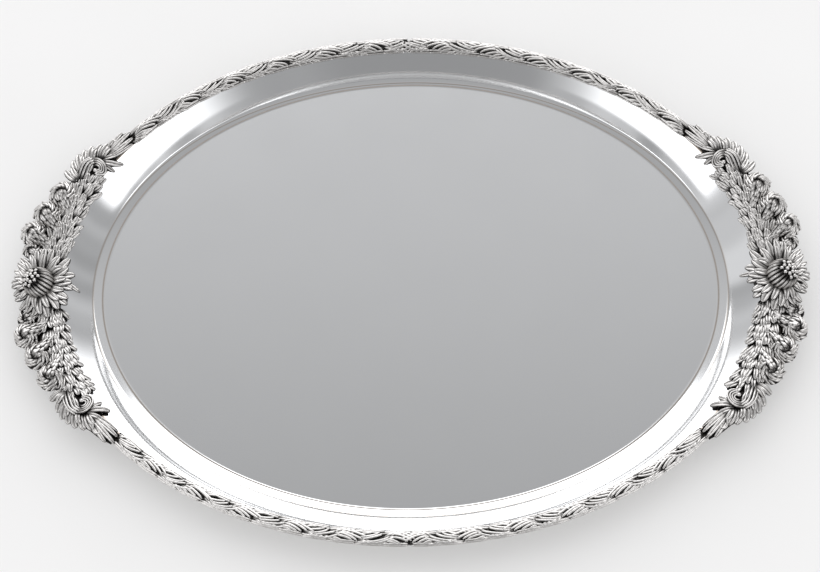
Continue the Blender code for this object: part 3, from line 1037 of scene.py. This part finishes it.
def underside(angle):
    """Rings under the sheet from the rim to the middle of the well, which is flat on the table."""
    share = np.concatenate([np.linspace(1.0, STEP_LINE, UNDERSIDE_RINGS)[1:], UNDERSIDE_SHARES])
    slope = np.gradient(sheet_height(share), share) / MEAN_HALF_AXIS
    low = np.maximum(sheet_height(share) - SHEET * np.hypot(1.0, slope), 0.0)
    low[share < STEP_LINE] = 0.0
    plan = on_ellipse(share[:, None], angle[None, :])
    return np.concatenate([plan, np.broadcast_to(low[:, None, None], plan.shape[:2] + (1,))], -1)


def sheet_tarnish_and_shade(points):
    """Tarnish and painted shade at each point of the sheet: a painted shadow with tarnishing by the chased
    lines, and painted shade with tarnishing against the ornament.
    """
    share = share_at(points[:, 0], points[:, 1])
    second = second_line(points[:, 1] / (share * RIM_HALF_WIDTH))
    on_top = points[:, 2] > SHEET / 2
    # A painted shadow of the first bead, set just outside it, and tarnishing on the second line.
    lines = bead(share, WELL_EDGE + LINE_SHADOW_OFFSET * BEAD_SHARES)
    lines = lines + SECOND_BEAD * on_top * bead(share, second)
    # Painted shade with tarnishing on the sheet against and under the ornament.
    against_ornament = smooth((share - ORNAMENT_TARNISH_AND_SHADE_FROM) / ORNAMENT_TARNISH_AND_SHADE_OVER)
    return np.clip(LINE_TARNISH_AND_SHADOW * lines + against_ornament, 0, 1)


def body(material):
    """The raised sheet: a lathe over ellipses, with a broad ground under the ornament at the ends."""
    angle = math.tau * np.arange(BODY_SEGMENTS) / BODY_SEGMENTS
    top = upper_face(angle)
    rings = np.concatenate([top, rounded_edge(top[-1, :, :2]), underside(angle)])
    shell = Casting()
    shell.rings(rings[:, ::-1], 0.0)
    points = np.concatenate(shell.points)
    oxide = sheet_tarnish_and_shade(points)
    data = add_piece("tray_body_sheet", "tray_body", material, points, shell.faces, oxide)
    data.set_sharp_from_angle(angle=math.radians(50))


# ---------- materials

# Colours that a ramp runs through, each with its place. Sheet: clean metal, and tarnishing with painted
# shade by oxide.
CLEAN_COLOURS = (
    (0.30, (0.925, 0.925, 0.925, 1)),
    (0.70, (0.935, 0.935, 0.935, 1)),
)
TARNISH_AND_SHADE_COLOURS = (
    (0.0, (0.93, 0.92, 0.90, 1)),
    (0.3, (0.50, 0.43, 0.37, 1)),
    (1.0, (0.03, 0.027, 0.024, 1)),
)
# Castings by oxide and painted shade, from polished to black, and the floor.
CAST_COLOURS = (
    (0.05, (0.67, 0.65, 0.63, 1)),
    (0.35, (0.39, 0.375, 0.36, 1)),
    (0.62, (0.105, 0.100, 0.096, 1)),
    (0.95, (0.022, 0.020, 0.019, 1)),
)
FLOOR_COLOURS = (
    (0.3, (0.610, 0.604, 0.596, 1)),
    (0.7, (0.620, 0.614, 0.606, 1)),
)

# The part of a noise texture's range that is used.
NOISE_RANGE = (0.3, 0.7)


def nodes_of(material):
    material.use_nodes = True
    tree = material.node_tree
    return tree, tree.nodes["Principled BSDF"]


def add(tree, kind, **values):
    """A new node, with its properties or input sockets set by name."""
    node = tree.nodes.new(kind)
    for name, value in values.items():
        if hasattr(node, name):
            setattr(node, name, value)
        else:
            node.inputs[name.replace("_", " ")].default_value = value
    return node


def feed(tree, socket, value):
    """Link a socket to another, or set it to a number or colour."""
    if isinstance(value, (int, float, tuple)):
        socket.default_value = value
    else:
        tree.links.new(value, socket)


def ramp(tree, value, stops):
    node = add(tree, "ShaderNodeValToRGB")
    tree.links.new(value, node.inputs["Fac"])
    elements = node.color_ramp.elements
    for element, (place, colour) in zip(elements, (stops[0], stops[-1])):
        element.position = place
        element.color = colour
    for place, colour in stops[1:-1]:
        elements.new(place).color = colour
    return node.outputs["Color"]


def noise(tree, scale, detail, stretch=(1.0, 1.0, 1.0)):
    where = add(tree, "ShaderNodeTexCoord")
    mapping = add(tree, "ShaderNodeMapping")
    mapping.inputs["Scale"].default_value = stretch
    tree.links.new(where.outputs["Object"], mapping.inputs["Vector"])
    node = add(tree, "ShaderNodeTexNoise", Scale=scale, Detail=detail)
    tree.links.new(mapping.outputs["Vector"], node.inputs["Vector"])
    return node.outputs["Fac"]


def calculate(tree, operation, *values):
    node = add(tree, "ShaderNodeMath", operation=operation)
    for socket, value in zip(node.inputs, values):
        feed(tree, socket, value)
    return node.outputs[0]


def spread(tree, value, reads, gives, smoothly=False):
    """Carry one range of numbers over to another."""
    node = add(tree, "ShaderNodeMapRange")
    node.interpolation_type = "SMOOTHSTEP" if smoothly else "LINEAR"
    tree.links.new(value, node.inputs["Value"])
    for name, number in zip(("From Min", "From Max", "To Min", "To Max"), (*reads, *gives)):
        node.inputs[name].default_value = number
    return node.outputs["Result"]


def blend_colour(tree, share, first, second):
    node = add(tree, "ShaderNodeMix", data_type="RGBA")
    factor, a, b = (node.inputs[i] for i in (0, 6, 7))
    for socket, value in ((factor, share), (a, first), (b, second)):
        feed(tree, socket, value)
    return node.outputs[2]


def bump(tree, height, strength, distance):
    node = add(tree, "ShaderNodeBump", Strength=strength, Distance=distance)
    tree.links.new(height, node.inputs["Height"])
    return node.outputs["Normal"]


def bright_silver():
    """Polished sheet: a faint cloudiness, hairline scratches, and brown tarnishing with a painted shadow in
    the chased lines, and tarnishing with painted shade against the ornament."""
    material = bpy.data.materials.new("bright_silver")
    tree, shader = nodes_of(material)
    cloud = noise(tree, scale=14.0, detail=3.0)
    fine = noise(tree, scale=900.0, detail=3.0)
    hair = noise(tree, scale=260.0, detail=5.0, stretch=(1.0, 14.0, 1.0))
    kept = add(tree, "ShaderNodeAttribute", attribute_name="oxide").outputs["Fac"]
    clean = ramp(tree, cloud, CLEAN_COLOURS)
    # Tarnishing and painted shade, by the oxide attribute.
    tarnish_and_shade_colour = ramp(tree, kept, TARNISH_AND_SHADE_COLOURS)
    tarnish_and_shade_share = spread(tree, kept, (0.0, 0.12), (0.0, 1.0))
    tree.links.new(blend_colour(tree, tarnish_and_shade_share, clean, tarnish_and_shade_colour), shader.inputs["Base Color"])
    cloudy = spread(tree, cloud, NOISE_RANGE, (0.060, 0.075))
    worn = calculate(tree, "ADD", cloudy, spread(tree, fine, NOISE_RANGE, (0.0, 0.03)))
    rough = calculate(tree, "ADD", worn, spread(tree, kept, (0.0, 1.0), (0.0, 0.22)))
    tree.links.new(rough, shader.inputs["Roughness"])
    tree.links.new(bump(tree, hair, strength=0.05, distance=0.00003), shader.inputs["Normal"])
    shader.inputs["Metallic"].default_value = 1.0
    return material


def cast_silver():
    """Cast ornament: dark oxide left in the hollows, painted shade at the roots of leaves and under the
    florets, polished high spots, a slightly grainy skin.
    """
    material = bpy.data.materials.new("oxidised_silver")
    tree, shader = nodes_of(material)
    kept = add(tree, "ShaderNodeAttribute", attribute_name="oxide").outputs["Fac"]
    blotch = noise(tree, scale=320.0, detail=4.0)
    grain = noise(tree, scale=2600.0, detail=3.0)
    uneven = calculate(tree, "ADD", kept, spread(tree, blotch, NOISE_RANGE, (-0.16, 0.16)))
    tree.links.new(ramp(tree, uneven, CAST_COLOURS), shader.inputs["Base Color"])
    tree.links.new(spread(tree, uneven, (0.0, 0.9), (0.33, 0.55)), shader.inputs["Roughness"])
    tree.links.new(bump(tree, grain, strength=0.25, distance=0.00006), shader.inputs["Normal"])
    shader.inputs["Metallic"].default_value = 1.0
    return material


def pale_floor():
    """A matt pale floor that glows a little."""
    material = bpy.data.materials.new("pale_floor")
    tree, shader = nodes_of(material)
    colour = ramp(tree, noise(tree, scale=6.0, detail=2.0), FLOOR_COLOURS)
    tree.links.new(colour, shader.inputs["Base Color"])
    shader.inputs["Roughness"].default_value = 1.0
    shader.inputs["Specular IOR Level"].default_value = 0.0
    tree.links.new(colour, shader.inputs["Emission Color"])
    shader.inputs["Emission Strength"].default_value = 0.435
    return material


# ---------- stage and light

FLOOR_HALF = 6.0

OPENS = (0.0, 1.0)
CLOSES = (1.0, 0.0)


def floor():
    data = bpy.data.meshes.new("floor")
    corners = [(x * FLOOR_HALF, y * FLOOR_HALF, 0) for x, y in ((-1, -1), (1, -1), (1, 1), (-1, 1))]
    data.from_pydata(corners, [], [(0, 1, 2, 3)])
    data.materials.append(pale_floor())
    made = bpy.data.objects.new("floor", data)
    bpy.context.collection.objects.link(made)


def room_light(tree, x, y, z):
    """How bright the room is in each direction: a streaked grey wall, a ceiling, a broad white panel
    behind the tray, a dark gap in front, and a softbox on each side of the gap. Places behind and beside
    the tray are a direction's y and x over its level length, heights are its z, and each pair of them is
    where a panel starts and where it is full."""

    def soft(value, reads, gives):
        return spread(tree, value, reads, gives, smoothly=True)

    def times(first, second):
        return calculate(tree, "MULTIPLY", first, second)

    flat = calculate(tree, "SQRT", calculate(tree, "SUBTRACT", 1.0, times(z, z)))
    level = calculate(tree, "MAXIMUM", flat, 0.001)
    aside = calculate(tree, "DIVIDE", x, level)
    behind = calculate(tree, "DIVIDE", y, level)
    beside = calculate(tree, "ABSOLUTE", aside)
    in_front = times(behind, -1.0)
    low_enough = soft(z, (0.880, 0.905), CLOSES)

    streak = add(tree, "ShaderNodeTexNoise", Scale=2.2, Detail=2.0)
    where = add(tree, "ShaderNodeCombineXYZ")
    tree.links.new(aside, where.inputs[0])
    tree.links.new(behind, where.inputs[1])
    tree.links.new(where.outputs[0], streak.inputs["Vector"])
    wall = soft(streak.outputs["Fac"], (0.35, 0.65), (0.34, 0.72))
    overhead = soft(z, (0.78, 0.93), OPENS)
    light = over(tree, wall, overhead, soft(y, (0.05, 0.42), (0.40, 0.58)))

    back = times(soft(behind, (0.58, 0.82), OPENS), low_enough)
    light = over(tree, light, back, 2.3)
    gap = times(soft(beside, (0.10, 0.62), CLOSES), soft(in_front, (0.2, 0.4), OPENS))
    light = over(tree, light, times(gap, low_enough), 0.31)
    boxes = times(soft(beside, (0.38, 0.78), OPENS), soft(in_front, (0.28, 0.42), OPENS))
    boxes = times(boxes, times(soft(z, (0.16, 0.26), OPENS), low_enough))
    return over(tree, light, boxes, 2.1)


def over(tree, light, mask, strength):
    """Light, with another strength in its place where the mask is 1."""
    rest = calculate(tree, "MULTIPLY", light, calculate(tree, "SUBTRACT", 1.0, mask))
    return calculate(tree, "ADD", rest, calculate(tree, "MULTIPLY", mask, strength))


def studio():
    """The room as the world's light, with a plain fill for matt surfaces and a plain backdrop."""
    world = bpy.data.worlds.new("studio")
    bpy.context.scene.world = world
    world.use_nodes = True
    tree = world.node_tree
    background = tree.nodes["Background"]
    split = add(tree, "ShaderNodeSeparateXYZ")
    tree.links.new(add(tree, "ShaderNodeTexCoord").outputs["Generated"], split.inputs[0])
    x, y, z = split.outputs
    light = room_light(tree, x, y, z)
    path = add(tree, "ShaderNodeLightPath")
    fill = spread(tree, y, (-0.3, 0.8), (0.55, 1.75), smoothly=True)
    light = over(tree, light, path.outputs["Is Diffuse Ray"], fill)
    light = over(tree, light, path.outputs["Is Camera Ray"], 0.90)
    tree.links.new(light, background.inputs["Strength"])
    background.inputs["Color"].default_value = (0.970, 0.980, 1.0, 1)


# ---------- camera

ELEVATION = math.radians(74.0)
AZIMUTH = math.radians(5.36)
ROLL = math.radians(-5.78)
DISTANCE = 1.400
TARGET = Vector((0.0010, 0.0028, SHEET))


def camera():
    level = math.cos(ELEVATION)
    forward = Vector((-math.sin(AZIMUTH) * level, math.cos(AZIMUTH) * level, -math.sin(ELEVATION)))
    right = Vector((math.cos(AZIMUTH), math.sin(AZIMUTH), 0.0))
    up = right.cross(forward)
    rolled_right = right * math.cos(ROLL) + up * math.sin(ROLL)
    rolled_up = up * math.cos(ROLL) - right * math.sin(ROLL)
    turn = Matrix((rolled_right, rolled_up, -forward)).transposed().to_4x4()
    data = bpy.data.cameras.new("camera")
    data.lens = 64.2
    data.sensor_width = 36.0
    made = bpy.data.objects.new("camera", data)
    made.matrix_world = Matrix.Translation(TARGET - forward * DISTANCE) @ turn
    bpy.context.collection.objects.link(made)
    bpy.context.scene.camera = made
    bpy.context.scene.view_settings.view_transform = "Standard"


def main():
    camera()
    studio()
    floor()
    body(bright_silver())
    ornament = cast_silver()
    for i, (mirror_x, mirror_y, end, side) in enumerate(QUARTERS):
        rng = np.random.default_rng(SEED + i)
        mirror = (mirror_x, mirror_y)
        border(mirror, end, side, ornament, rng)
        garland(mirror, end, side, ornament, rng)
        blooms(mirror, end, side, ornament, rng)
        scroll(mirror, end, side, ornament)
    for mirror_x, end, tip_sway in ENDS:
        ruff(end, mirror_x, tip_sway, ornament, np.random.default_rng(SEED))
        heart(end, mirror_x, ornament)


main()
